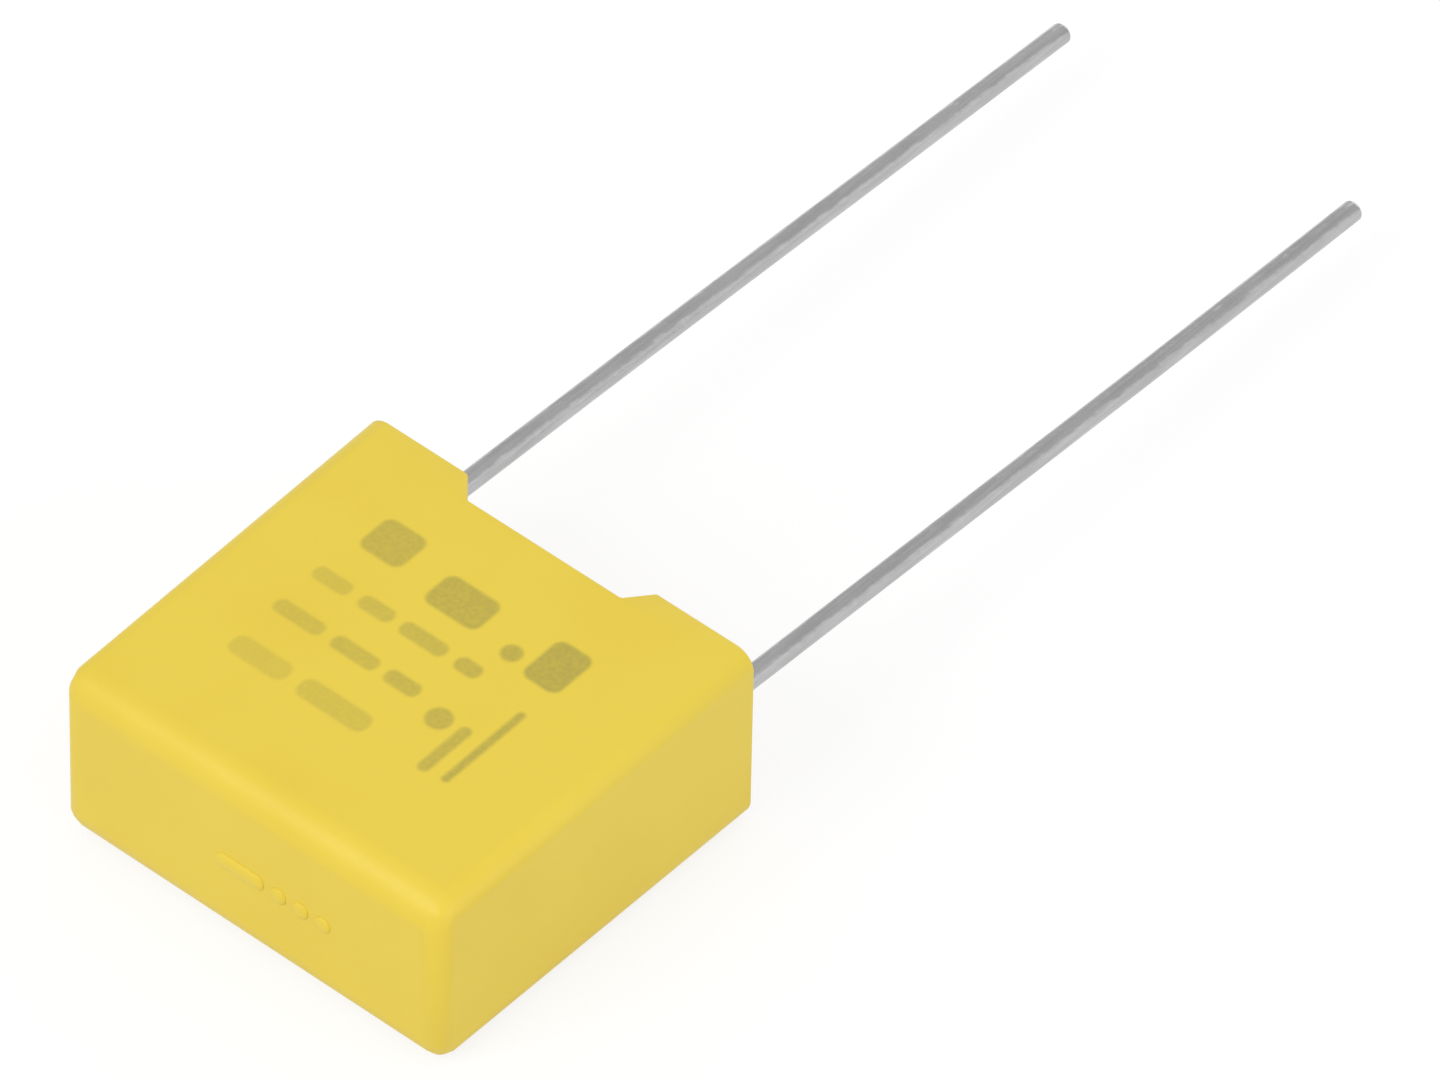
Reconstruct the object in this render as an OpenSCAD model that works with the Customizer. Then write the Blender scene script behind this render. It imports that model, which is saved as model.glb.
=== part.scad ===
// Boxed film capacitor with two radial wire leads, lying on one of its broad faces.
// Lengths are in millimetres and angles in degrees.
// The leads run along +Y and stand apart along X. Z is up from the face that the case lies on.
// The origin is on that face, under the middle of the case.

/* [Case] */
// Distance from a lead's axis to the end of the case beside it
lead_to_end = 1.5; // [1.3:0.1:3]
// Height of the case along its leads, from its closed end to its seating rim
case_height = 12; // [9:0.5:20]
// Thickness of the case between its broad faces, at the rim
case_thickness = 6; // [4.5:0.5:9]
// Thickness of the four side walls
side_wall = 0.7; // [0.4:0.05:0.9]
// Thickness of the closed end
end_wall = 0.8; // [0.5:0.1:1.5]
// Mould draft of each side wall
draft = 0.45; // [0:0.05:1]
// Radius of the four edges along the leads
edge_radius = 0.6; // [0.3:0.05:1.2]
// Radius of the closed end's two long edges
end_radius = 0.9; // [0.3:0.05:1.2]
// Radius of the closed end's two short edges
corner_radius = 0.55; // [0.2:0.05:0.85]
// Radius of the edges inside the case
cavity_radius = 0.3; // [0.1:0.05:0.5]

/* [Standoffs] */
// Width of the standoff at each end of a broad wall's rim
standoff_width = 3.3; // [2:0.1:4.5]
// Depth of the notch between two standoffs
notch_depth = 0.7; // [0.3:0.1:1.5]
// Run of each sloping end of the notch
notch_slope = 0.6; // [0.1:0.1:1]

/* [Leads] */
// Distance between the two leads' axes
lead_pitch = 10; // [7.5:0.5:27.5]
// Diameter of the lead wire
lead_diameter = 0.6; // [0.4:0.05:1]
// Length of wire beyond the seating rim
lead_length = 26; // [4:1:35]
// Length of wire that leaves the rim square before it droops
lead_square_length = 0.4; // [0.3:0.1:2]
// Angle by which the wire droops below level
lead_droop = 3; // [0:0.5:4]
// Radius of the cut edge at the wire's tip
tip_radius = 0.1; // [0.05:0.01:0.18]

/* [Element] */
// Length of wire along the sprayed end that it is welded to
weld_length = 5; // [2:0.5:8]
// Depth of the flat pressed on the wire by the weld
weld_flat = 0.06; // [0.02:0.01:0.1]
// Length by which that flat runs on past the winding
flat_overrun = 0.3; // [0.1:0.05:0.35]
// Thickness of the sprayed metal on each end of the winding
spray_thickness = 0.5; // [0.2:0.05:0.8]

/* [Resin] */
// Thickness of resin between the winding and the case
resin_gap = 0.3; // [0.1:0.05:0.6]
// Thickness of resin over the winding, on its lead side
resin_cover = 0.8; // [0.4:0.1:2]
// Distance from the notch's floor down to the resin's surface
fill_drop = 0.25; // [0.1:0.05:1]
// Height of the collar that the resin draws up each lead
collar_height = 0.25; // [0.1:0.05:0.5]
// Width of the collar around a lead, at its foot
collar_width = 0.3; // [0.1:0.05:0.35]

/* [Hidden] */
$fn = 96;

// Distance by which a cutting shape passes the surface that it cuts
overcut = 1;
LEFT = -1;
RIGHT = 1;

case_width = lead_pitch + 2 * lead_to_end;
rim_y = case_height / 2;
closed_y = -case_height / 2;
cavity_y = closed_y + end_wall;
fill_y = rim_y - notch_depth - fill_drop;
// The case lies on one drafted wall, so the wall above it slopes by both drafts
top_slope = 2 * draft;

winding_low_y = cavity_y + resin_gap;
winding_high_y = fill_y - resin_cover;
winding_height = winding_high_y - winding_low_y;
winding_low_z = side_wall + resin_gap;
// The winding is as thick as the case allows, in whole hundredths
winding_thickness = floor(100 * (top_z(cavity_y, side_wall) - resin_gap - winding_low_z)) / 100;
winding_radius = min(winding_thickness, winding_height) / 2;
winding_z = winding_low_z + winding_thickness / 2;

lead_x = lead_pitch / 2;
spray_outer_x = lead_x - lead_diameter / 2 + weld_flat;
spray_inner_x = spray_outer_x - spray_thickness;
weld_y = winding_high_y - weld_length;
bend_y = rim_y + lead_square_length;
droop_length = lead_length - lead_square_length;

case_yellow = [0.91, 0.79, 0.22];
resin_yellow = [0.80, 0.68, 0.24];
film_grey = [0.78, 0.79, 0.80];
spray_grey = [0.55, 0.55, 0.54];
tin_grey = [0.70, 0.70, 0.69];

// Half of the case's width at a height along the leads, inset from its outer faces
function half_width(y, inset) = case_width / 2 - (rim_y - y) * tan(draft) - inset / cos(draft);

// Height above the floor of the upper broad wall's surface, inset from its outer face
function top_z(y, inset) = case_thickness - (rim_y - y) * tan(top_slope) - inset / cos(top_slope);

function unit(v) = v / norm(v);

// Removes the sharp edge where two planes meet, leaving a round that touches both.
// The planes go through a point and have outward unit normals.
module edge_round(point, normal_a, normal_b, radius) {
    along = unit(cross(normal_a, normal_b));
    across = cross(along, normal_a);
    a = [1, 0];
    b = [normal_a * normal_b, across * normal_b];
    diagonal = (a + b) / (1 + a * b);
    centre = -radius * diagonal;
    reach = radius + overcut;
    length = 4 * (case_width + case_height + case_thickness);
    multmatrix([
        [normal_a.x, across.x, along.x, point.x],
        [normal_a.y, across.y, along.y, point.y],
        [normal_a.z, across.z, along.z, point.z],
    ])
        linear_extrude(length, center = true)
            difference() {
                polygon([centre, centre + reach * a, overcut * diagonal, centre + reach * b]);
                translate(centre)
                    circle(radius);
            }
}

// A block with drafted sides and sharp edges, closed at low_y, inset from the case's outer faces
module sharp_block(inset, low_y, high_y) {
    low_x = half_width(low_y, inset);
    high_x = half_width(high_y, inset);
    low_top = top_z(low_y, inset);
    high_top = top_z(high_y, inset);
    intersection() {
        linear_extrude(2 * case_thickness, center = true)
            polygon([[-low_x, low_y], [low_x, low_y], [high_x, high_y], [-high_x, high_y]]);
        rotate([90, 0, 90])
            linear_extrude(2 * case_width, center = true)
                polygon([[low_y, inset], [high_y, inset], [high_y, high_top], [low_y, low_top]]);
    }
}

// The same block with its edges rounded, first those along the leads and then those of the closed end.
// The radii are of the edges along Y, X and Z, in this order.
module drafted_block(inset, low_y, high_y, radii) {
    low_x = half_width(low_y, inset);
    closed = [0, -1, 0];
    end_faces = [for (side = [LEFT, RIGHT]) [side * low_x, [side * cos(draft), -sin(draft), 0]]];
    broad_faces = [[inset, [0, 0, -1]], [top_z(low_y, inset), [0, -sin(top_slope), cos(top_slope)]]];
    difference() {
        difference() {
            difference() {
                sharp_block(inset, low_y, high_y);
                for (end = end_faces, broad = broad_faces)
                    edge_round([end[0], low_y, broad[0]], end[1], broad[1], radii[0]);
            }
            for (broad = broad_faces)
                edge_round([0, low_y, broad[0]], broad[1], closed, radii[1]);
        }
        for (end = end_faces)
            edge_round([end[0], low_y, inset], end[1], closed, radii[2]);
    }
}

// The room inside the case, running out past the rim
module cavity() {
    drafted_block(side_wall, cavity_y, rim_y + overcut, [cavity_radius, cavity_radius, cavity_radius]);
}

// The notch between the standoffs, cut through both broad walls
module notch() {
    mouth = case_width / 2 - standoff_width;
    floor_half = mouth - notch_slope;
    floor_y = rim_y - notch_depth;
    linear_extrude(4 * case_thickness, center = true)
        polygon([
            [-floor_half, floor_y],
            [floor_half, floor_y],
            [mouth, rim_y],
            [mouth, rim_y + overcut],
            [-mouth, rim_y + overcut],
            [-mouth, rim_y],
        ]);
}

module case() {
    color(case_yellow)
        difference() {
            drafted_block(0, closed_y, rim_y, [edge_radius, end_radius, corner_radius]);
            cavity();
            notch();
        }
}

// The flattened roll's section across its winding axis, a slot shape, run along X
module roll(low_x, high_x) {
    translate([low_x, (winding_low_y + winding_high_y) / 2, winding_z])
        rotate([90, 0, 90])
            linear_extrude(high_x - low_x)
                union() {
                    square([winding_height - 2 * winding_radius, winding_thickness], center = true);
                    for (end = [-1, 1])
                        translate([end * (winding_height / 2 - winding_radius), 0])
                            circle(winding_radius);
                }
}

module film_winding() {
    color(film_grey)
        roll(-spray_inner_x, spray_inner_x);
}

module end_spray(side) {
    inner = side * spray_inner_x;
    outer = side * spray_outer_x;
    color(spray_grey)
        roll(min(inner, outer), max(inner, outer));
}

// The drooping stretch of wire along +Y, from just before its bend at the origin to its rounded tip
module drooping_wire() {
    radius = lead_diameter / 2;
    length = overcut + droop_length;
    translate([0, -overcut, 0])
        rotate([-90, 0, 0])
            rotate_extrude() {
                square([radius, length - tip_radius]);
                square([radius - tip_radius, length]);
                translate([radius - tip_radius, length - tip_radius])
                    intersection() {
                        circle(tip_radius);
                        square(tip_radius);
                    }
            }
}

// The square stretch of wire along +Y, from its welded end to just past its bend at the origin
module square_wire(side) {
    length = bend_y - weld_y;
    flat_x = spray_outer_x - lead_x;
    flat_length = overcut + weld_length + flat_overrun;
    difference() {
        translate([0, -length, 0])
            rotate([-90, 0, 0])
                cylinder(d = lead_diameter, h = length + overcut);
        translate([side * (flat_x - lead_diameter / 2), flat_length / 2 - length - overcut, 0])
            cube([lead_diameter, flat_length, 2 * lead_diameter], center = true);
    }
}

// All space on one side of the plane through the origin that is square to Y
module half_space(side) {
    span = 2 * (case_height + lead_length);
    translate([0, side * span / 2, 0])
        cube(span, center = true);
}

// The two stretches of wire, cut to meet in the plane that halves the angle between them
module lead(side) {
    half_droop = lead_droop / 2;
    color(tin_grey)
        translate([side * lead_x, bend_y, winding_z])
            rotate([-half_droop, 0, 0]) {
                intersection() {
                    rotate([half_droop, 0, 0])
                        square_wire(side);
                    half_space(-1);
                }
                intersection() {
                    rotate([-half_droop, 0, 0])
                        drooping_wire();
                    half_space(1);
                }
            }
}

// The cone of resin that climbs a lead where it leaves the surface
module collar(side) {
    translate([side * lead_x, fill_y, winding_z])
        rotate([-90, 0, 0])
            cylinder(r1 = lead_diameter / 2 + collar_width, r2 = lead_diameter / 2, h = collar_height);
}

module resin_fill() {
    color(resin_yellow)
        difference() {
            intersection() {
                cavity();
                union() {
                    translate([-case_width, fill_y - 2 * case_height, -case_thickness])
                        cube([2 * case_width, 2 * case_height, 4 * case_thickness]);
                    for (side = [LEFT, RIGHT])
                        collar(side);
                }
            }
            roll(-spray_outer_x, spray_outer_x);
            for (side = [LEFT, RIGHT])
                lead(side);
        }
}

case();
resin_fill();
film_winding();
end_spray(LEFT);  // end_spray_left
end_spray(RIGHT);  // end_spray_right
lead(LEFT);  // lead_left
lead(RIGHT);  // lead_right
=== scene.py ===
"""Looks of a boxed film capacitor with two wire leads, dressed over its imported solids.

The pieces are modelled in millimetres, in the frame of the solids, and scaled to metres when they are
finished. The leads run along +Y, Z is up, and the case lies on a broad face at Z = 0.
"""

import logging
import math
from collections.abc import Iterable, Mapping
from dataclasses import dataclass
from enum import Enum
from typing import Any, Union

import bmesh
import bpy
from bmesh.types import BMEdge, BMesh, BMFace, BMVert
from mathutils import Matrix, Vector

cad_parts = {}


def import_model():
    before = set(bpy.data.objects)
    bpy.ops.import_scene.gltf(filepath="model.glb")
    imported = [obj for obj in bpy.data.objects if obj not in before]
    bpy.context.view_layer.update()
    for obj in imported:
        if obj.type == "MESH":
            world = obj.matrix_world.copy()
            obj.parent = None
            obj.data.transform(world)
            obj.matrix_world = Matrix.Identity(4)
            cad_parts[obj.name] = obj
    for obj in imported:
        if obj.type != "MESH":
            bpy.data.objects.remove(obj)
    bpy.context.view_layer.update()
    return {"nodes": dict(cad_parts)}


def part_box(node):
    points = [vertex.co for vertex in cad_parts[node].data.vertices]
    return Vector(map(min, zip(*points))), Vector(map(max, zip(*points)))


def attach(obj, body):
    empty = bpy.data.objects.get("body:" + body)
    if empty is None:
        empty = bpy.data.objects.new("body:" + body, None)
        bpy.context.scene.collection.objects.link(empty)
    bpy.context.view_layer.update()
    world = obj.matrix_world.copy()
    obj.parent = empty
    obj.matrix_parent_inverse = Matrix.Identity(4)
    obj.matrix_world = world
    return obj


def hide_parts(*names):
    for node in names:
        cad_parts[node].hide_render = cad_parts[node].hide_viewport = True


LOG = logging.getLogger("film_capacitor")
MM = 0.001
# Points closer than this are one point
TOUCH = 1e-5
# A face whose unit normal has this much along an axis faces along that axis
FACING = 0.99
# Edges that turn by more than this are shaded as sharp
SHARP_TURN = math.radians(35)
ROUND_PROFILE = 0.5
KEEP_MATERIAL = -1
ORIGIN = Vector((0, 0, 0))
WHITE = (1.0, 1.0, 1.0, 1.0)

Colour = tuple[float, float, float, float]
Triple = tuple[float, float, float]
Span = tuple[float, float]
Term = Union["Value", float]
Tint = Union["Value", Colour]


class Side(Enum):
    """The two ends of the case along X, by sign."""

    LEFT = -1
    RIGHT = 1

    @property
    def lead(self) -> str:
        """The name of the lead's solid at this end."""
        return f"lead_{self.name.lower()}"


class Slot(Enum):
    """The material slots, by name."""

    CASE = "case_plastic"
    RESIN = "potting_resin"
    FILM = "metallised_film"
    SPRAY = "sprayed_metal"
    WIRE = "tinned_wire"


def srgb(red: int, green: int, blue: int) -> Colour:
    """Turns a display colour into the linear colour that a shader takes.

    Args:
        red: Red from 0 to 255.
        green: Green from 0 to 255.
        blue: Blue from 0 to 255.

    Returns:
        The linear colour with an alpha of one.
    """

    def channel(level: int) -> float:
        """Gives one channel's linear level."""
        share = level / 255
        return share / 12.92 if share <= 0.04045 else ((share + 0.055) / 1.055) ** 2.4

    return (channel(red), channel(green), channel(blue), 1.0)


def direction(azimuth: float, elevation: float) -> Vector:
    """Gives the way from the object to a lamp or a camera.

    Args:
        azimuth: Degrees round from -Y towards +X.
        elevation: Degrees above the floor.

    Returns:
        The way, of length one.
    """
    turn = math.radians(azimuth)
    rise = math.radians(elevation)
    return Vector((math.sin(turn) * math.cos(rise), -math.cos(turn) * math.cos(rise), math.sin(rise)))


def packed_box(node: str) -> tuple[Vector, Vector]:
    """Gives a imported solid's lowest and highest corners in millimetres."""
    low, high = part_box(node)
    return low / MM, high / MM


# Shader graphs


@dataclass(frozen=True)
class Pattern:
    """A soft random pattern: its spots' size in millimetres, how finely layered and how stretched."""

    size: float
    detail: float
    stretch: Triple = (1, 1, 1)


class Value:
    """A number from a shader socket that Python expressions can combine."""

    def __init__(self, graph: "Graph", socket: bpy.types.NodeSocket) -> None:
        """Keeps the socket and the graph that it belongs to."""
        self.graph = graph
        self.socket = socket

    def _math(self, operation: str, *terms: Term) -> "Value":
        """Adds a Math node.

        Args:
            operation: The node's operation.
            terms: Values or numbers for its sockets, in order.

        Returns:
            The node's result.
        """
        node = self.graph.node("ShaderNodeMath", {"operation": operation}, dict(enumerate(terms)))
        return self.graph.output(node)

    def __add__(self, other: Term) -> "Value":
        """Gives the sum."""
        return self._math("ADD", self, other)

    def __radd__(self, other: Term) -> "Value":
        """Gives the sum with a number on the left."""
        return self._math("ADD", other, self)

    def __sub__(self, other: Term) -> "Value":
        """Gives the difference."""
        return self._math("SUBTRACT", self, other)

    def __rsub__(self, other: Term) -> "Value":
        """Gives the difference from a number on the left."""
        return self._math("SUBTRACT", other, self)

    def __mul__(self, other: Term) -> "Value":
        """Gives the product."""
        return self._math("MULTIPLY", self, other)

    def __rmul__(self, other: Term) -> "Value":
        """Gives the product with a number on the left."""
        return self._math("MULTIPLY", other, self)

    def __pow__(self, other: Term) -> "Value":
        """Gives the power."""
        return self._math("POWER", self, other)

    def __abs__(self) -> "Value":
        """Gives the distance from zero."""
        return self._math("ABSOLUTE", self)

    def larger(self, other: Term) -> "Value":
        """Gives the larger of two values."""
        return self._math("MAXIMUM", self, other)

    def fade(self, start: float, end: float) -> "Value":
        """Fades smoothly between two levels.

        Args:
            start: The level at which the result is zero.
            end: The level at which the result is one; it may be below start.

        Returns:
            The result, held from zero to one.
        """
        node = self.graph.node(
            "ShaderNodeMapRange",
            {"interpolation_type": "SMOOTHSTEP", "clamp": True},
            {"Value": self, "From Min": start, "From Max": end},
        )
        return self.graph.output(node, "Result")


class Graph:
    """A node tree that is being built."""

    def __init__(self, tree: bpy.types.NodeTree) -> None:
        """Starts with an empty tree."""
        self.tree = tree
        self.tree.nodes.clear()

    def node(
        self,
        kind: str,
        settings: Mapping[str, Any] | None = None,
        inputs: Mapping[int | str, Any] | None = None,
    ) -> bpy.types.Node:
        """Adds any node.

        Args:
            kind: The node's type.
            settings: Its properties, which are set first.
            inputs: Values or links for its sockets, by name or place.

        Returns:
            The new node.
        """
        made = self.tree.nodes.new(kind)
        for name, value in (settings or {}).items():
            setattr(made, name, value)
        for key, value in (inputs or {}).items():
            if isinstance(value, Value):
                self.tree.links.new(value.socket, made.inputs[key])
            else:
                made.inputs[key].default_value = value
        return made

    def output(self, made: bpy.types.Node, key: int | str = 0) -> Value:
        """Gives one of a node's outputs."""
        return Value(self, made.outputs[key])

    def coordinates(self) -> Value:
        """Gives the point on the piece, in metres."""
        return self.output(self.node("ShaderNodeTexCoord"), "Object")

    def place(self) -> tuple[Value, Value, Value]:
        """Gives the point's X, Y and Z on the piece, in millimetres."""
        axes = self.node("ShaderNodeSeparateXYZ", None, {"Vector": self.coordinates()})
        return tuple(self.output(axes, axis) * (1 / MM) for axis in "XYZ")

    def noise(self, pattern: Pattern) -> Value:
        """Lays a random pattern over the piece.

        Args:
            pattern: The pattern.

        Returns:
            Its level, from zero to one and mostly near a half.
        """
        scale = Vector([1 / (pattern.size * MM * factor) for factor in pattern.stretch])
        mapped = self.node("ShaderNodeMapping", None, {"Vector": self.coordinates(), "Scale": scale})
        spots = self.node(
            "ShaderNodeTexNoise",
            {"noise_dimensions": "3D"},
            {"Vector": self.output(mapped), "Scale": 1.0, "Detail": pattern.detail},
        )
        return self.output(spots)

    def mix(self, share: Term, first: Tint, second: Tint) -> Value:
        """Mixes two colours.

        Args:
            share: The second colour's share.
            first: The colour at a share of zero.
            second: The colour at a share of one.

        Returns:
            The mixed colour.
        """
        node = self.node("ShaderNodeMix", {"data_type": "RGBA"}, {0: share, 6: first, 7: second})
        return self.output(node, 2)

    def bump(self, height: Value, rise: float, strength: float) -> Value:
        """Turns a height pattern into a normal.

        Args:
            height: The pattern.
            rise: The rise in millimetres that a pattern of one stands for.
            strength: The share of it that is used.

        Returns:
            The normal.
        """
        inputs = {"Height": height, "Distance": rise * MM, "Strength": strength}
        return self.output(self.node("ShaderNodeBump", None, inputs), "Normal")

    def emission(self, level: float) -> Value:
        """Gives a white glow of a level."""
        return self.output(self.node("ShaderNodeEmission", None, {"Color": WHITE, "Strength": level}))

    def finish(self, shader: Value) -> None:
        """Ends a material in a shader."""
        self.node("ShaderNodeOutputMaterial", None, {"Surface": shader})

    def surface(self, inputs: Mapping[str, Any]) -> None:
        """Ends a material in one principled surface with these sockets set."""
        self.finish(self.output(self.node("ShaderNodeBsdfPrincipled", None, inputs)))


def new_material(name: str) -> tuple[bpy.types.Material, Graph]:
    """Makes an empty material.

    Args:
        name: Its name.

    Returns:
        The material and its graph.
    """
    material = bpy.data.materials.new(name)
    material.use_nodes = True
    return material, Graph(material.node_tree)


# Finishes


@dataclass(frozen=True)
class PrintMark:
    """One plain printed field with rounded corners on the upper broad face, in millimetres."""

    x: float
    y: float
    length: float
    width: float
    corner: float
    level: float


PRINT_MARKS = (
    PrintMark(-3.0, 2.9, 1.4, 1.3, 0.3, 0.8),
    PrintMark(-0.3, 2.5, 1.8, 1.2, 0.3, 0.9),
    PrintMark(1.8, 2.0, 0.6, 0.6, 0.3, 0.9),
    PrintMark(3.0, 2.4, 1.2, 1.6, 0.3, 1.0),
    PrintMark(-3.3, 0.9, 1.2, 0.5, 0.22, 0.5),
    PrintMark(-1.8, 0.9, 1.1, 0.5, 0.22, 0.6),
    PrintMark(-0.2, 0.9, 1.5, 0.5, 0.22, 0.7),
    PrintMark(1.3, 0.9, 0.8, 0.5, 0.22, 0.8),
    PrintMark(-3.1, -0.6, 1.6, 0.5, 0.22, 0.55),
    PrintMark(-1.2, -0.6, 1.5, 0.5, 0.22, 0.65),
    PrintMark(0.4, -0.6, 1.1, 0.5, 0.22, 0.75),
    PrintMark(-2.9, -2.3, 1.9, 0.7, 0.3, 0.4),
    PrintMark(-0.4, -2.3, 2.3, 0.7, 0.3, 0.5),
    PrintMark(1.9, -0.9, 0.75, 0.75, 0.37, 0.8),
    PrintMark(2.7, -1.6, 0.36, 1.9, 0.18, 0.8),
    PrintMark(3.4, -0.9, 0.24, 3.1, 0.12, 0.9),
)


@dataclass(frozen=True)
class CasePlastic:
    """Satin moulded plastic with a faded print on its upper broad face; lengths in millimetres."""

    colour: Colour = srgb(233, 206, 67)
    shade: Colour = srgb(231, 203, 64)
    cloud: Pattern = Pattern(4.0, 2.0)
    cloud_span: Span = (0.35, 0.7)
    grain: Pattern = Pattern(0.12, 2.0)
    grain_rise: float = 0.008
    grain_strength: float = 0.5
    roughness: float = 0.4
    roughness_swing: float = 0.1
    refraction: float = 1.46
    ink: Colour = srgb(140, 134, 66)
    ink_strength: float = 0.62
    ink_edge: float = 0.08
    patch: Pattern = Pattern(0.13, 2.0)
    patch_span: Span = (0.3, 0.65)
    patch_depth: float = 0.18
    print_heights: Span = (5.4, 5.7)
    marks: tuple[PrintMark, ...] = PRINT_MARKS

    def _mark(self, x: Value, y: Value, mark: PrintMark) -> Value:
        """Shades one printed field.

        Args:
            x: The point's X.
            y: The point's Y.
            mark: The field.

        Returns:
            The field's level inside it and zero outside it, with a soft edge.
        """
        across = (abs(x - mark.x) - (mark.length / 2 - mark.corner)).larger(0)
        along = (abs(y - mark.y) - (mark.width / 2 - mark.corner)).larger(0)
        distance = (across * across + along * along) ** 0.5
        return distance.fade(mark.corner + self.ink_edge, mark.corner - self.ink_edge) * mark.level

    def _print(self, graph: Graph) -> Value:
        """Shades the whole print, which is a little patchy.

        Args:
            graph: The material's graph.

        Returns:
            How much ink covers the point, from zero to one.
        """
        x, y, z = graph.place()
        covered = self._mark(x, y, self.marks[0])
        for mark in self.marks[1:]:
            covered = covered.larger(self._mark(x, y, mark))
        spots = graph.noise(self.patch).fade(*self.patch_span)
        patches = (1 - self.patch_depth) + self.patch_depth * spots
        return covered * patches * z.fade(*self.print_heights) * self.ink_strength

    def build(self) -> bpy.types.Material:
        """Makes the material.

        Returns:
            The material.
        """
        material, graph = new_material(Slot.CASE.value)
        cloud = graph.noise(self.cloud).fade(*self.cloud_span)
        grain = graph.noise(self.grain)
        ink = self._print(graph)
        plain = graph.mix(cloud, self.colour, self.shade)
        graph.surface(
            {
                "Base Color": graph.mix(ink, plain, self.ink),
                "Roughness": self.roughness + self.roughness_swing * (grain + ink),
                "Normal": graph.bump(grain, self.grain_rise, self.grain_strength),
                "IOR": self.refraction,
            }
        )
        return material


@dataclass(frozen=True)
class PottingResin:
    """Cast resin, glossy, a little cloudy, with small bubbles at its surface; lengths in millimetres."""

    colour: Colour = srgb(226, 194, 92)
    shade: Colour = srgb(216, 178, 72)
    cloud: Pattern = Pattern(2.2, 4.0)
    cloud_span: Span = (0.35, 0.7)
    bubble: Pattern = Pattern(0.35, 1.0)
    bubble_span: Span = (0.68, 0.8)
    bubble_tint: float = 0.2
    bubble_dip: float = 0.4
    ripple: Pattern = Pattern(1.4, 2.0)
    ripple_rise: float = 0.06
    ripple_strength: float = 0.5
    roughness: float = 0.22
    roughness_swing: float = 0.2
    refraction: float = 1.52

    def build(self) -> bpy.types.Material:
        """Makes the material.

        Returns:
            The material.
        """
        material, graph = new_material(Slot.RESIN.value)
        cloud = graph.noise(self.cloud)
        bubbles = graph.noise(self.bubble).fade(*self.bubble_span)
        tint = cloud.fade(*self.cloud_span) * (1 - self.bubble_tint) + self.bubble_tint * bubbles
        height = graph.noise(self.ripple) - self.bubble_dip * bubbles
        graph.surface(
            {
                "Base Color": graph.mix(tint, self.colour, self.shade),
                "Roughness": self.roughness + self.roughness_swing * (cloud + bubbles),
                "Normal": graph.bump(height, self.ripple_rise, self.ripple_strength),
                "IOR": self.refraction,
            }
        )
        return material


@dataclass(frozen=True)
class TinnedWire:
    """Drawn wire under dull tin, streaked along its length and slightly wavy; lengths in millimetres."""

    bright: Colour = srgb(190, 190, 191)
    dull: Colour = srgb(177, 177, 177)
    streak: Pattern = Pattern(0.09, 3.0, (1, 40, 1))
    streak_height: float = 0.035
    blotch: Pattern = Pattern(0.8, 4.0, (1, 3, 1))
    pit: Pattern = Pattern(0.14, 2.0)
    pit_height: float = 0.04
    wave: Pattern = Pattern(0.45, 2.0, (1, 2, 1))
    wave_rise: float = 0.08
    wave_strength: float = 0.7
    wear_span: Span = (0.35, 0.65)
    roughness: float = 0.19
    roughness_swing: float = 0.12

    def build(self) -> bpy.types.Material:
        """Makes the material.

        Returns:
            The material.
        """
        material, graph = new_material(Slot.WIRE.value)
        streaks = graph.noise(self.streak)
        pits = graph.noise(self.pit)
        wear = (streaks + graph.noise(self.blotch)) * 0.5
        height = graph.noise(self.wave) + streaks * self.streak_height + pits * self.pit_height
        graph.surface(
            {
                "Base Color": graph.mix(wear.fade(*self.wear_span), self.bright, self.dull),
                "Metallic": 1.0,
                "Roughness": self.roughness + self.roughness_swing * wear,
                "Normal": graph.bump(height, self.wave_rise, self.wave_strength),
            }
        )
        return material


@dataclass(frozen=True)
class MetallisedFilm:
    """The edge-on layers of a flattened roll of metallised film; lengths in millimetres."""

    bright: Colour = srgb(206, 208, 212)
    dark: Colour = srgb(150, 152, 158)
    layer: Pattern = Pattern(0.06, 2.0, (60, 60, 1))
    layer_span: Span = (0.3, 0.7)
    crease: Pattern = Pattern(1.2, 3.0, (4, 1, 1))
    rise: float = 0.02
    strength: float = 0.4
    metal: float = 0.85
    roughness: float = 0.2
    roughness_swing: float = 0.2

    def build(self) -> bpy.types.Material:
        """Makes the material.

        Returns:
            The material.
        """
        material, graph = new_material(Slot.FILM.value)
        layers = graph.noise(self.layer)
        creases = graph.noise(self.crease)
        graph.surface(
            {
                "Base Color": graph.mix(layers.fade(*self.layer_span), self.bright, self.dark),
                "Metallic": self.metal,
                "Roughness": self.roughness + self.roughness_swing * creases,
                "Normal": graph.bump((layers + creases) * 0.5, self.rise, self.strength),
            }
        )
        return material


@dataclass(frozen=True)
class SprayedMetal:
    """Coarse sprayed zinc, grey and grainy; lengths in millimetres."""

    bright: Colour = srgb(172, 172, 170)
    dark: Colour = srgb(118, 118, 116)
    grain: Pattern = Pattern(0.11, 3.0)
    grain_span: Span = (0.35, 0.65)
    grain_rise: float = 0.05
    grain_strength: float = 0.7
    metal: float = 0.9
    roughness: float = 0.45
    roughness_swing: float = 0.25

    def build(self) -> bpy.types.Material:
        """Makes the material.

        Returns:
            The material.
        """
        material, graph = new_material(Slot.SPRAY.value)
        grains = graph.noise(self.grain)
        graph.surface(
            {
                "Base Color": graph.mix(grains.fade(*self.grain_span), self.dark, self.bright),
                "Metallic": self.metal,
                "Roughness": self.roughness + self.roughness_swing * grains,
                "Normal": graph.bump(grains, self.grain_rise, self.grain_strength),
            }
        )
        return material


# Mesh helpers


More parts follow.
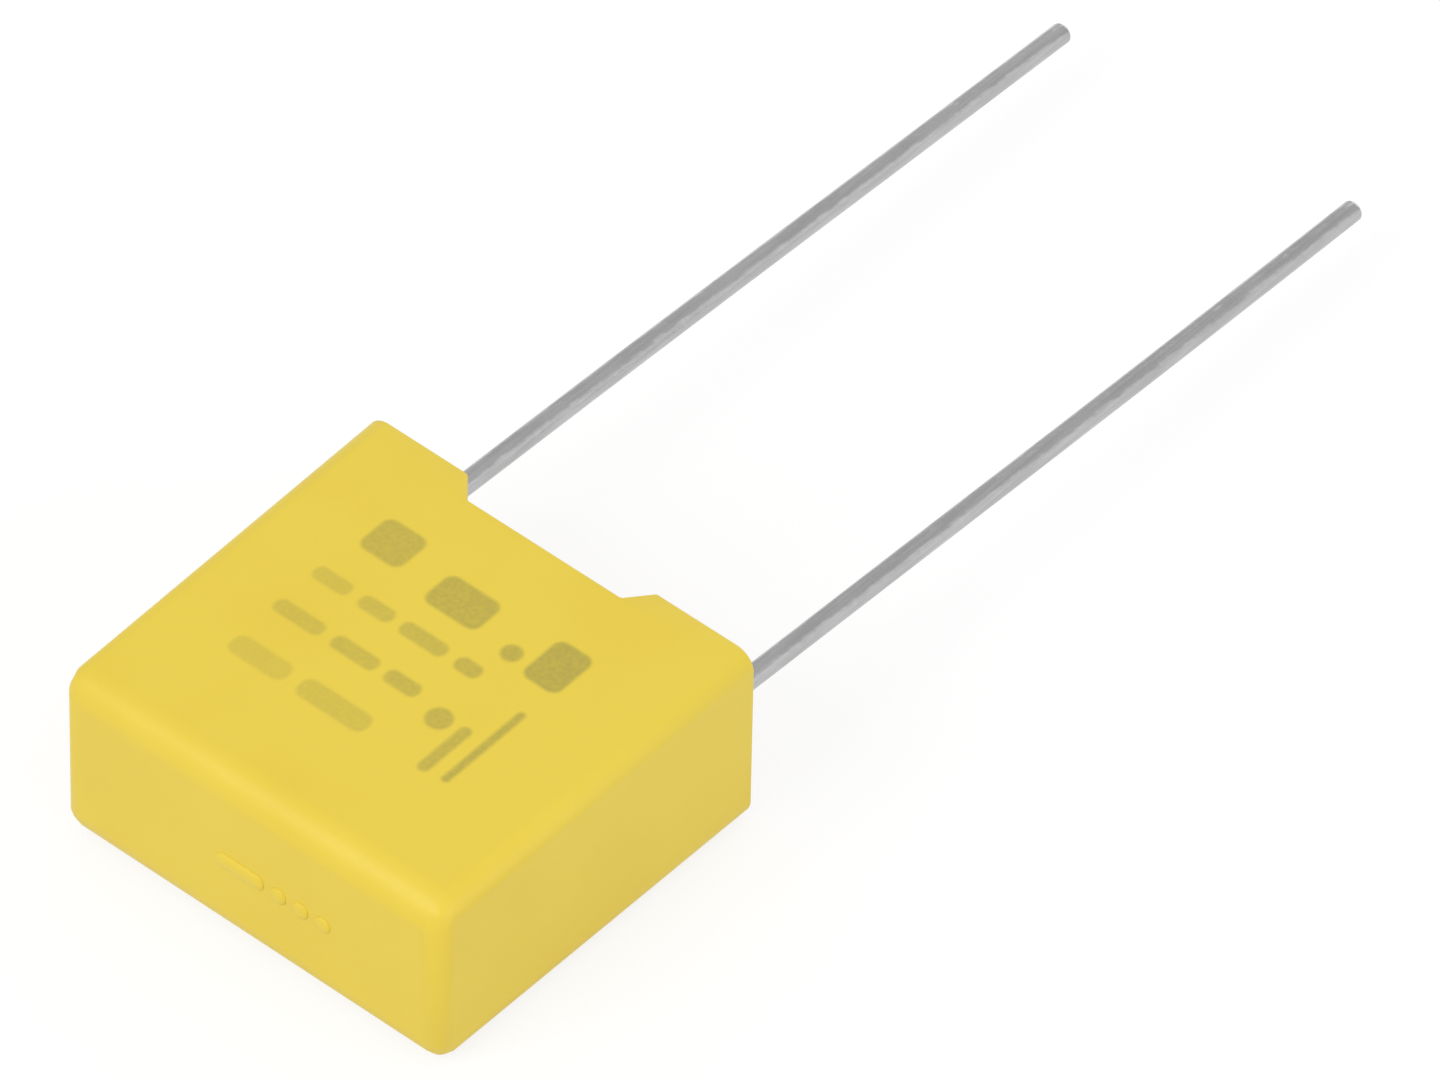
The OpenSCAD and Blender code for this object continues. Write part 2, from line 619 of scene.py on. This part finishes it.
def placed(name: str, data: bpy.types.ID) -> bpy.types.Object:
    """Adds an object to the scene.

    Args:
        name: Its name.
        data: Its mesh, light or camera.

    Returns:
        The object.
    """
    made = bpy.data.objects.new(name, data)
    bpy.context.scene.collection.objects.link(made)
    return made


def stored(name: str, shape: BMesh) -> bpy.types.Mesh:
    """Stores a working mesh as mesh data.

    Args:
        name: The data's name.
        shape: The working mesh, which is used up.

    Returns:
        The data.
    """
    mesh = bpy.data.meshes.new(name)
    shape.to_mesh(mesh)
    shape.free()
    return mesh


def absorb(shape: BMesh, other: BMesh) -> None:
    """Moves all of one mesh's geometry into another mesh.

    Args:
        shape: The mesh that grows.
        other: The mesh that is used up.
    """
    carrier = stored("carrier", other)
    shape.from_mesh(carrier)
    bpy.data.meshes.remove(carrier)


def open_edges(shape: BMesh) -> list[BMEdge]:
    """Lists the edges that have a face on one side only."""
    return [edge for edge in shape.edges if edge.is_boundary]


def corners_of(items: Iterable[Any]) -> list[BMVert]:
    """Lists the vertices of some edges or faces, each of them once."""
    return list(dict.fromkeys(vert for item in items for vert in item.verts))


def only(kind: type, items: Iterable[Any]) -> list[Any]:
    """Lists the items of one kind, such as the edges of what an operator made."""
    return [item for item in items if isinstance(item, kind)]


def cut(
    shape: BMesh,
    faces: Iterable[BMFace],
    point: Vector,
    normal: Vector,
    clear: bool = False,
) -> None:
    """Cuts some faces along a plane.

    Args:
        shape: The mesh.
        faces: The faces that are cut.
        point: A point of the plane.
        normal: The plane's normal.
        clear: Whether what lies on the normal's side is removed.
    """
    chosen = list(faces)
    edges = dict.fromkeys(edge for face in chosen for edge in face.edges)
    geometry = [*corners_of(chosen), *edges, *chosen]
    bmesh.ops.bisect_plane(
        shape, geom=geometry, dist=TOUCH, plane_co=point, plane_no=normal, clear_outer=clear
    )


def bevelled(shape: BMesh, edges: list[BMEdge], radius: float, segments: int) -> None:
    """Rounds some edges of a mesh in place.

    Args:
        shape: The mesh.
        edges: The edges that are rounded.
        radius: The radius of the round.
        segments: The number of faces across it.
    """
    bmesh.ops.bevel(
        shape,
        geom=edges,
        offset=radius,
        segments=segments,
        profile=ROUND_PROFILE,
        affect="EDGES",
        material=KEEP_MATERIAL,
        clamp_overlap=True,
    )


def rounded_by_weight(cage: BMesh, radius: float, segments: int) -> BMesh:
    """Rounds a mesh's edges by the weights that they carry.

    Args:
        cage: The mesh with sharp edges, which is used up.
        radius: The radius of an edge with a weight of one.
        segments: The number of faces across a rounded edge.

    Returns:
        The rounded mesh.
    """
    mesh = stored("cage", cage)
    holder = placed("cage", mesh)
    rounding = holder.modifiers.new("rounding", "BEVEL")
    rounding.limit_method = "WEIGHT"
    rounding.width = radius
    rounding.segments = segments
    rounding.profile = ROUND_PROFILE
    shape = bmesh.new()
    shape.from_object(holder, bpy.context.evaluated_depsgraph_get())
    bpy.data.objects.remove(holder)
    bpy.data.meshes.remove(mesh)
    return shape


def finished(
    name: str,
    shape: BMesh,
    material: bpy.types.Material,
    stands_for: Iterable[str] = (),
) -> bpy.types.Object:
    """Turns a mesh in millimetres into a piece of the object.

    Args:
        name: The piece's name.
        shape: The mesh, which is used up.
        material: Its finish.
        stands_for: The solids that the piece is shown instead of.

    Returns:
        The piece.
    """
    bmesh.ops.scale(shape, vec=(MM, MM, MM), verts=shape.verts)
    mesh = stored(name, shape)
    mesh.shade_smooth()
    mesh.set_sharp_from_angle(angle=SHARP_TURN)
    mesh.materials.append(material)
    piece = placed(name, mesh)
    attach(piece, "root")
    if stands_for:
        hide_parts(*stands_for)
    LOG.info("%s: %d faces", name, len(mesh.polygons))
    return piece


# Pieces


@dataclass
class MouldedCase:
    """The box: a drafted shell with rounded edges, a notched rim and a moulding mark, in millimetres."""

    width: float
    height: float
    thickness: float
    side_wall: float = 0.7
    end_wall: float = 0.8
    draft: float = math.radians(0.45)
    edge_radius: float = 0.6
    end_radius: float = 0.9
    corner_radius: float = 0.55
    cavity_radius: float = 0.3
    round_segments: int = 14
    standoff_width: float = 3.3
    notch_depth: float = 0.7
    notch_slope: float = 0.6
    rim_radius: float = 0.07
    rim_segments: int = 3
    rim_turn: float = math.radians(30)
    wide_run: float = 1.0
    flat_area: float = 6.0
    flat_border: float = 0.05
    pip_radius: float = 0.26
    pip_segments: int = 32
    pip_pitch: float = 0.75
    pips: int = 3
    bar_x: float = -0.3
    bar_length: float = 1.1
    mark_z: float = 2.76
    mark_flatness: float = 0.35

    @property
    def rim_y(self) -> float:
        """The seating rim's Y."""
        return self.height / 2

    @property
    def closed_y(self) -> float:
        """The closed end's Y."""
        return -self.height / 2

    @property
    def notch_y(self) -> float:
        """The Y of the notch's floor."""
        return self.rim_y - self.notch_depth

    def half_width(self, y: float, inset: float) -> float:
        """Gives half of the width at a height, inset from the outer faces."""
        return self.width / 2 - (self.rim_y - y) * math.tan(self.draft) - inset / math.cos(self.draft)

    def top_z(self, y: float, inset: float) -> float:
        """Gives the upper broad wall's Z at a height; it takes the draft of the level lower wall too."""
        slope = 2 * self.draft
        return self.thickness - (self.rim_y - y) * math.tan(slope) - inset / math.cos(slope)

    def drafted_block(self, inset: float, low_y: float, high_y: float, radii: Triple) -> BMesh:
        """Builds a drafted block that is rounded everywhere but at its open end.

        Args:
            inset: Its distance inside the case's outer faces.
            low_y: Its closed end.
            high_y: Its open end.
            radii: The radii of the edges along X, Y and Z.

        Returns:
            The block without a face at its open end.
        """
        largest = max(radii)
        cage = bmesh.new()
        bmesh.ops.create_cube(cage, size=2.0)
        for vert in cage.verts:
            y = low_y if vert.co.y < 0 else high_y
            z = inset if vert.co.z < 0 else self.top_z(y, inset)
            vert.co = (math.copysign(self.half_width(y, inset), vert.co.x), y, z)
        weight = cage.edges.layers.float.new("bevel_weight_edge")
        for edge in cage.edges:
            run = edge.verts[1].co - edge.verts[0].co
            axis = max(range(3), key=lambda place: abs(run[place]))
            if min(vert.co.y for vert in edge.verts) < high_y - self.side_wall:
                edge[weight] = radii[axis] / largest
        block = rounded_by_weight(cage, largest, self.round_segments)
        ends = [face for face in block.faces if face.calc_center_median().y > high_y - TOUCH]
        bmesh.ops.delete(block, geom=ends, context="FACES_ONLY")
        return block

    def cavity(self) -> BMesh:
        """Builds the room inside the case, open at the rim."""
        radii = (self.cavity_radius, self.cavity_radius, self.cavity_radius)
        return self.drafted_block(self.side_wall, self.closed_y + self.end_wall, self.rim_y, radii)

    def _shell(self) -> BMesh:
        """Builds the box with its walls.

        Returns:
            The box with a flat rim.
        """
        radii = (self.end_radius, self.edge_radius, self.corner_radius)
        shell = self.drafted_block(0, self.closed_y, self.rim_y, radii)
        inside = self.cavity()
        bmesh.ops.reverse_faces(inside, faces=inside.faces)
        absorb(shell, inside)
        bmesh.ops.bridge_loops(shell, edges=open_edges(shell))
        return shell

    def _flats(self, shell: BMesh) -> list[BMFace]:
        """Lists the shell's large flat faces."""
        return [face for face in shell.faces if face.calc_area() > self.flat_area]

    def _rim_faces(self, shell: BMesh) -> list[BMFace]:
        """Finds the flat faces on the rim and beside it that run across the broad walls.

        Args:
            shell: The box.

        Returns:
            The faces.
        """
        found = []
        for face in shell.faces:
            flat = abs(face.normal.z) > FACING or face.normal.y > FACING
            reach = [vert.co.x for vert in face.verts]
            wide = max(reach) - min(reach) > self.wide_run
            if flat and wide and face.calc_center_median().y > self.notch_y:
                found.append(face)
        return found

    def _cut_notches(self, shell: BMesh) -> None:
        """Cuts the notch between the standoffs out of both broad walls.

        Args:
            shell: The box with a flat rim.
        """
        mouth = self.width / 2 - self.standoff_width
        floor_half = mouth - self.notch_slope
        broad = [face for face in self._flats(shell) if abs(face.normal.z) > FACING]
        cut(shell, broad, Vector((0, self.notch_y, 0)), Vector((0, 1, 0)))
        for side in Side:
            point = Vector((side.value * floor_half, self.notch_y, 0))
            normal = Vector((self.notch_depth, -side.value * self.notch_slope, 0))
            cut(shell, self._rim_faces(shell), point, normal)
        rim = self._rim_faces(shell)
        middle = [face for face in rim if abs(face.calc_center_median().x) < floor_half]
        bmesh.ops.delete(shell, geom=middle, context="FACES")
        for upper in (False, True):
            chains = [
                edge
                for edge in open_edges(shell)
                if abs(edge.verts[0].co.z - edge.verts[1].co.z) < self.side_wall / 2
                and (edge.verts[0].co.z > self.thickness / 2) is upper
            ]
            bmesh.ops.bridge_loops(shell, edges=chains)

    def _moulding_mark(self) -> BMesh:
        """Builds the low bar and the pips on the closed end.

        Returns:
            The marks, each sunk to half of its height in the wall.
        """
        mark = bmesh.new()
        ball = {
            "u_segments": self.pip_segments,
            "v_segments": self.pip_segments // 2,
            "radius": self.pip_radius,
        }
        for vert in bmesh.ops.create_uvsphere(mark, **ball)["verts"]:
            if abs(vert.co.x) > TOUCH:
                vert.co.x += math.copysign(self.bar_length / 2, vert.co.x)
        for index in range(self.pips):
            pip = bmesh.ops.create_uvsphere(mark, **ball)["verts"]
            place = self.bar_length / 2 + self.pip_pitch * (index + 1)
            bmesh.ops.translate(mark, vec=(place, 0, 0), verts=pip)
        bmesh.ops.scale(mark, vec=(1, self.mark_flatness, 1), verts=mark.verts)
        bmesh.ops.translate(mark, vec=(self.bar_x, self.closed_y, self.mark_z), verts=mark.verts)
        bmesh.ops.recalc_face_normals(mark, faces=mark.faces)
        return mark

    def build(self, material: bpy.types.Material) -> bpy.types.Object:
        """Builds and dresses the case.

        Args:
            material: Its finish.

        Returns:
            The piece that stands for the case.
        """
        shell = self._shell()
        self._cut_notches(shell)
        rim = [
            edge
            for edge in shell.edges
            if min(vert.co.y for vert in edge.verts) > self.notch_y - TOUCH
            and edge.calc_face_angle(0) > self.rim_turn
        ]
        bevelled(shell, rim, self.rim_radius, self.rim_segments)
        bmesh.ops.inset_individual(
            shell, faces=self._flats(shell), thickness=self.flat_border, use_even_offset=True
        )
        bmesh.ops.recalc_face_normals(shell, faces=shell.faces)
        absorb(shell, self._moulding_mark())
        return finished("case_shell", shell, material, ["case"])


@dataclass
class WireLead:
    """One lead: round wire with a welded flat, a slight droop and a cut tip, in millimetres."""

    side: Side
    rim_y: float
    weld_y: float
    axis_z: float
    pitch: float = 10.0
    radius: float = 0.3
    length: float = 26.0
    square_length: float = 0.4
    weld_length: float = 5.0
    flat_overrun: float = 0.3
    flat_depth: float = 0.06
    flat_end: float = 0.02
    droop: float = math.radians(3.0)
    bend_radius: float = 6.0
    bend_steps: int = 6
    bow: float = 0.03
    bow_rise: float = 0.015
    bow_steps: int = 56
    tip_radius: float = 0.1
    tip_steps: int = 6
    sides: int = 48

    @classmethod
    def packed(cls, side: Side, case: MouldedCase) -> "WireLead":
        """Takes a lead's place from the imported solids.

        Args:
            side: The lead's end of the case.
            case: The case that the lead comes out of.

        Returns:
            The lead.
        """
        weld, _ = packed_box(side.lead)
        winding_low, winding_high = packed_box("film_winding")
        return cls(side, case.rim_y, weld.y, (winding_low.z + winding_high.z) / 2)

    @property
    def axis_x(self) -> float:
        """The X of the lead's axis."""
        return self.side.value * self.pitch / 2

    @property
    def ahead(self) -> Vector:
        """The direction of the drooping stretch."""
        return Vector((0, math.cos(self.droop), -math.sin(self.droop)))

    @property
    def setback(self) -> float:
        """The distance from the bend's corner to where its round begins."""
        return self.bend_radius * math.tan(self.droop / 2)

    def _grow(self, wire: BMesh, edges: list[BMEdge], step: Vector) -> list[BMEdge]:
        """Lengthens the wire from its open end.

        Args:
            wire: The wire's mesh.
            edges: The ring of edges at its open end.
            step: The way to the next ring.

        Returns:
            The new ring.
        """
        grown = bmesh.ops.extrude_edge_only(wire, edges=edges)["geom"]
        ring = only(BMVert, grown)
        bmesh.ops.translate(wire, vec=step, verts=ring)
        return [edge for edge in only(BMEdge, grown) if set(edge.verts) <= set(ring)]

    def _press_flat(self, wire: BMesh) -> None:
        """Presses the flat on the side of the wire that faces the winding.

        Args:
            wire: The wire's mesh, so far as the flat runs.
        """
        limit = abs(self.axis_x) - self.radius + self.flat_depth
        for vert in wire.verts:
            vert.co.x = self.side.value * max(limit, self.side.value * vert.co.x)

    def _round_again(self, edges: Iterable[BMEdge]) -> None:
        """Puts a pressed ring back on the wire's round section.

        Args:
            edges: The ring.
        """
        for vert in corners_of(edges):
            height = vert.co.z - self.axis_z
            width = math.sqrt(max(self.radius**2 - height**2, 0))
            vert.co.x = self.axis_x + math.copysign(width, vert.co.x - self.axis_x)

    def _square_stretch(self, wire: BMesh) -> list[BMEdge]:
        """Starts the wire with its welded end and runs it to its bend.

        Args:
            wire: The empty mesh.

        Returns:
            The ring at its open end.
        """
        ring = bmesh.ops.create_circle(wire, radius=self.radius, segments=self.sides)["verts"]
        bmesh.ops.rotate(wire, cent=ORIGIN, matrix=Matrix.Rotation(math.pi / 2, 3, "X"), verts=ring)
        bmesh.ops.translate(wire, vec=(self.axis_x, self.weld_y, self.axis_z), verts=ring)
        flat_length = self.weld_length + self.flat_overrun
        edges = self._grow(wire, list(wire.edges), Vector((0, flat_length, 0)))
        self._press_flat(wire)
        edges = self._grow(wire, edges, Vector((0, self.flat_end, 0)))
        self._round_again(edges)
        run = self.rim_y + self.square_length - self.setback - self.weld_y - flat_length - self.flat_end
        return self._grow(wire, edges, Vector((0, run, 0)))

    def _bend(self, wire: BMesh, edges: list[BMEdge]) -> list[BMEdge]:
        """Bends the wire down.

        Args:
            wire: The wire's mesh.
            edges: The ring at its open end.

        Returns:
            The ring after the bend.
        """
        start_y = self.rim_y + self.square_length - self.setback
        turned = bmesh.ops.spin(
            wire,
            geom=edges,
            cent=(self.axis_x, start_y, self.axis_z - self.bend_radius),
            axis=(1, 0, 0),
            angle=-self.droop,
            steps=self.bend_steps,
        )["geom_last"]
        return only(BMEdge, turned)

    def _bowed(self, share: float) -> Vector:
        """Gives the sideways place of the drooping stretch at a share of its length."""
        swing = self.side.value * self.bow * math.sin(math.pi * share)
        return Vector((swing, 0, self.bow_rise * math.sin(math.tau * share)))

    def _drooping_stretch(self, wire: BMesh, edges: list[BMEdge]) -> list[BMEdge]:
        """Runs the wire from its bend almost to its tip, with the slight bow of a straightened wire.

        Args:
            wire: The wire's mesh.
            edges: The ring after the bend.

        Returns:
            The ring before the tip.
        """
        run = self.length - self.square_length - self.setback - self.tip_radius
        for index in range(self.bow_steps):
            sway = self._bowed((index + 1) / self.bow_steps) - self._bowed(index / self.bow_steps)
            edges = self._grow(wire, edges, self.ahead * (run / self.bow_steps) + sway)
        return edges

    def _round_tip(self, wire: BMesh, edges: list[BMEdge]) -> None:
        """Rounds the cut edge at the wire's tip.

        Args:
            wire: The wire's mesh.
            edges: The ring before the tip.
        """
        size = self.radius
        for index in range(self.tip_steps):
            low, high = (math.pi / 2 * place / self.tip_steps for place in (index, index + 1))
            rise = self.tip_radius * (math.sin(high) - math.sin(low))
            edges = self._grow(wire, edges, self.ahead * rise)
            verts = corners_of(edges)
            centre = sum((vert.co for vert in verts), Vector()) / len(verts)
            new_size = self.radius - self.tip_radius * (1 - math.cos(high))
            factor = new_size / size
            bmesh.ops.scale(wire, vec=(factor,) * 3, space=Matrix.Translation(-centre), verts=verts)
            size = new_size

    def build(self, material: bpy.types.Material) -> bpy.types.Object:
        """Builds and dresses the lead.

        Args:
            material: Its finish.

        Returns:
            The piece that stands for the lead.
        """
        wire = bmesh.new()
        edges = self._square_stretch(wire)
        edges = self._bend(wire, edges)
        edges = self._drooping_stretch(wire, edges)
        self._round_tip(wire, edges)
        bmesh.ops.holes_fill(wire, edges=open_edges(wire), sides=0)
        bmesh.ops.recalc_face_normals(wire, faces=wire.faces)
        return finished(f"{self.side.lead}_wire", wire, material, [self.side.lead])


@dataclass
class ResinSurface:
    """The resin's visible face: level, drawn up at the walls and around each lead, in millimetres."""

    case: MouldedCase
    leads: list[WireLead]
    fill_drop: float = 0.25
    lift: float = 0.012
    depth: float = 0.12
    edge_rise: float = 0.16
    edge_width: float = 0.27
    edge_power: float = 2.2
    edge_rings: int = 7
    collar: float = 0.46
    collar_margin: float = 0.02
    collar_segments: int = 10
    foot_sink: float = 0.003

    @property
    def level(self) -> float:
        """The Y of the level face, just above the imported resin's face."""
        return self.case.notch_y - self.fill_drop + self.lift

    def _face(self) -> BMesh:
        """Builds the level face with its raised edge.

        Returns:
            A thin slab that fills the case from wall to wall.
        """
        slab = self.case.cavity()
        out = Vector((0, 1, 0))
        cut(slab, slab.faces, out * (self.level + self.edge_rise), out, clear=True)
        cut(slab, slab.faces, out * (self.level - self.depth), -out, clear=True)
        bmesh.ops.holes_fill(slab, edges=open_edges(slab), sides=0)
        top = max(slab.faces, key=lambda face: face.calc_center_median().y)
        ring_width = self.edge_width / self.edge_rings
        for index in range(self.edge_rings):
            bmesh.ops.inset_region(
                slab, faces=[top], thickness=ring_width, use_boundary=True, use_even_offset=True
            )
            share = 1 - (index + 1) / self.edge_rings
            for vert in top.verts:
                vert.co.y = self.level + self.edge_rise * share**self.edge_power
        bmesh.ops.recalc_face_normals(slab, faces=slab.faces)
        return slab

    def _collar(self, lead: WireLead) -> BMesh:
        """Builds the fillet that climbs one lead.

        Args:
            lead: The lead.

        Returns:
            The fillet on a thin foot that is sunk in the resin.
        """
        shape = bmesh.new()
        reach = self.collar + self.collar_margin
        bmesh.ops.create_circle(shape, radius=lead.radius + reach, segments=lead.sides, cap_ends=True)
        disc = list(shape.faces)
        bmesh.ops.inset_individual(shape, faces=disc, thickness=reach)
        lifted = bmesh.ops.extrude_discrete_faces(shape, faces=disc)["faces"]
        bmesh.ops.translate(
            shape, vec=(0, 0, self.collar + self.collar_margin / 2), verts=corners_of(lifted)
        )
        hollow = [
            edge
            for edge in shape.edges
            if all(abs(vert.co.z) < TOUCH for vert in edge.verts)
            and all(vert.co.xy.length < lead.radius + TOUCH for vert in edge.verts)
        ]
        bevelled(shape, hollow, self.collar, self.collar_segments)
        skirt = bmesh.ops.extrude_edge_only(shape, edges=open_edges(shape))["geom"]
        sunk = only(BMVert, skirt)
        bmesh.ops.translate(shape, vec=(0, 0, -self.depth / 2), verts=sunk)
        bmesh.ops.holes_fill(shape, edges=open_edges(shape), sides=0)
        bmesh.ops.recalc_face_normals(shape, faces=shape.faces)
        turn = Matrix.Rotation(-math.pi / 2, 3, "X")
        bmesh.ops.rotate(shape, cent=ORIGIN, matrix=turn, verts=shape.verts)
        place = Vector((lead.axis_x, self.level - self.foot_sink, lead.axis_z))
        bmesh.ops.translate(shape, vec=place, verts=shape.verts)
        return shape

    def build(self, material: bpy.types.Material) -> bpy.types.Object:
        """Builds and dresses the resin's face.

        Args:
            material: Its finish.

        Returns:
            The piece, which lies on the resin's solid.
        """
        face = self._face()
        for lead in self.leads:
            absorb(face, self._collar(lead))
        return finished("resin_surface", face, material)


@dataclass
class PackedSolids:
    """The resin, the winding and its sprayed ends, which are shown as packed."""

    nodes: Mapping[str, bpy.types.Object]

    def dress(self, finishes: Mapping[str, bpy.types.Material]) -> None:
        """Gives each solid its finish.

        Args:
            finishes: The finish of each solid, by its name.
        """
        for name, material in finishes.items():
            mesh = self.nodes[name].data
            mesh.materials.clear()
            mesh.materials.append(material)
            LOG.info("%s: dressed as packed", name)


# Studio


@dataclass(frozen=True)
class Lamp:
    """A soft square lamp that faces the case; angles in degrees and lengths in metres."""

    name: str
    azimuth: float
    elevation: float
    distance: float
    size: float
    level: float

    def build(self, target: Vector) -> None:
        """Hangs the lamp so that a white face turned to it gets its level of light.

        Args:
            target: The point that it faces.
        """
        way = direction(self.azimuth, self.elevation)
        light = bpy.data.lights.new(self.name, "AREA")
        light.shape = "SQUARE"
        light.size = self.size
        light.energy = self.level * (math.pi * self.distance) ** 2
        lamp = placed(self.name, light)
        lamp.location = target + way * self.distance
        lamp.rotation_euler = way.to_track_quat("Z", "Y").to_euler()


@dataclass
class Studio:
    """A white floor in a bright tent with a dim card over its far left half; lengths in metres."""

    tent_level: float = 0.75
    card_level: float = 0.7
    card_radius: float = 1.2
    card_way: Triple = (0.8, -0.6, 0.0)
    card_edge: float = 0.08
    card_segments: int = 64
    floor_radius: float = 3.0
    floor_segments: int = 96
    floor_drop: float = 0.02 * MM
    floor_colour: Colour = (0.7, 0.7, 0.7, 1.0)
    floor_level: float = 1.15
    floor_glow: float = 0.7
    lamps: tuple[Lamp, ...] = (
        Lamp("key", -14, 41, 0.55, 0.3, 0.35),
        Lamp("fill", 92, 14, 0.6, 0.45, 0.24),
        Lamp("back", 195, 9, 0.6, 0.45, 0.16),
    )

    def _seen(self, graph: Graph) -> Value:
        """Tells rays that show the background from rays that light the object.

        Args:
            graph: The graph that asks.

        Returns:
            One for camera, glossy and transmission rays, and zero for the rest.
        """
        path = graph.node("ShaderNodeLightPath")
        seen = graph.output(path, "Is Camera Ray").larger(graph.output(path, "Is Glossy Ray"))
        return seen.larger(graph.output(path, "Is Transmission Ray"))

    def _stand(self, name: str, sheet: BMesh, material: bpy.types.Material) -> bpy.types.Object:
        """Turns a mesh in metres into a part of the stage.

        Args:
            name: The part's name.
            sheet: The mesh, which is used up.
            material: Its finish.

        Returns:
            The part.
        """
        mesh = stored(name, sheet)
        mesh.materials.append(material)
        part = placed(name, mesh)
        return part

    def _tent(self) -> None:
        """Sets the light that comes from all round."""
        world = bpy.data.worlds.new("tent")
        world.use_nodes = True
        bpy.context.scene.world = world
        graph = Graph(world.node_tree)
        strength = self.tent_level + self._seen(graph) * (1 - self.tent_level)
        background = graph.node("ShaderNodeBackground", None, {"Color": WHITE, "Strength": strength})
        graph.node("ShaderNodeOutputWorld", None, {"Surface": graph.output(background)})

    def _card(self) -> None:
        """Hangs the dim card, a part of a dome that the camera doesn't see."""
        material, graph = new_material("studio_card")
        graph.finish(graph.emission(self.card_level))
        dome = bmesh.new()
        bmesh.ops.create_uvsphere(
            dome,
            u_segments=self.card_segments,
            v_segments=self.card_segments // 2,
            radius=self.card_radius,
        )
        way = Vector(self.card_way)
        cut(dome, dome.faces, ORIGIN, Vector((0, 0, -1)), clear=True)
        cut(dome, dome.faces, way * self.card_edge * self.card_radius, way, clear=True)
        self._stand("card", dome, material).visible_camera = False

    def _floor(self) -> None:
        """Lays the white floor, which keeps the object's soft shadow."""
        material, graph = new_material("studio_floor")
        matt = graph.output(graph.node("ShaderNodeBsdfDiffuse", None, {"Color": self.floor_colour}))
        share = self._seen(graph) * self.floor_glow
        inputs = {0: share, 1: matt, 2: graph.emission(self.floor_level)}
        graph.finish(graph.output(graph.node("ShaderNodeMixShader", None, inputs)))
        sheet = bmesh.new()
        bmesh.ops.create_circle(
            sheet, cap_ends=True, radius=self.floor_radius, segments=self.floor_segments
        )
        bmesh.ops.translate(sheet, vec=(0, 0, -self.floor_drop), verts=sheet.verts)
        self._stand("floor", sheet, material)

    def build(self, target: Vector) -> None:
        """Lights the object.

        Args:
            target: The point that the lamps face.
        """
        self._tent()
        self._card()
        self._floor()
        for lamp in self.lamps:
            lamp.build(target)


@dataclass(frozen=True)
class PhotoCamera:
    """The camera at the photograph's viewing angle; angles in degrees and lengths in metres."""

    azimuth: float = 39.959
    elevation: float = 46.035
    roll: float = 1.209
    distance: float = 0.4897
    target: Triple = (0.002611, 0.009154, 0.005088)
    lens: float = 478.92
    sensor_width: float = 36.0
    nearest: float = 0.01
    farthest: float = 20.0

    def build(self) -> None:
        """Sets up the camera and makes it the scene's."""
        back = direction(self.azimuth, self.elevation)
        level = Vector((0, 0, 1)).cross(back).normalized()
        roll = math.radians(self.roll)
        right = level * math.cos(roll) + back.cross(level) * math.sin(roll)
        axes = Matrix((right, back.cross(right), back)).transposed().to_4x4()
        data = bpy.data.cameras.new("camera")
        data.sensor_width = self.sensor_width
        data.lens = self.lens
        data.clip_start = self.nearest
        data.clip_end = self.farthest
        camera = placed("camera", data)
        camera.matrix_world = Matrix.Translation(Vector(self.target) + back * self.distance) @ axes
        bpy.context.scene.camera = camera


def main() -> None:
    """Loads the solids, dresses them and sets up the studio."""
    logging.basicConfig(level=logging.INFO, format="%(name)s: %(message)s")
    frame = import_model()
    bpy.context.scene.view_settings.view_transform = "Standard"

    low, high = packed_box("case")
    case = MouldedCase(*(high - low))
    case.build(CasePlastic().build())
    leads = [WireLead.packed(side, case) for side in Side]
    wire = TinnedWire().build()
    for lead in leads:
        lead.build(wire)
    resin = PottingResin().build()
    ResinSurface(case, leads).build(resin)
    spray = SprayedMetal().build()
    PackedSolids(frame["nodes"]).dress(
        {
            "resin_fill": resin,
            "film_winding": MetallisedFilm().build(),
            "end_spray_left": spray,
            "end_spray_right": spray,
        }
    )

    Studio().build(Vector((0, 0, case.thickness / 2)) * MM)
    PhotoCamera().build()


if __name__ == "__main__":
    main()
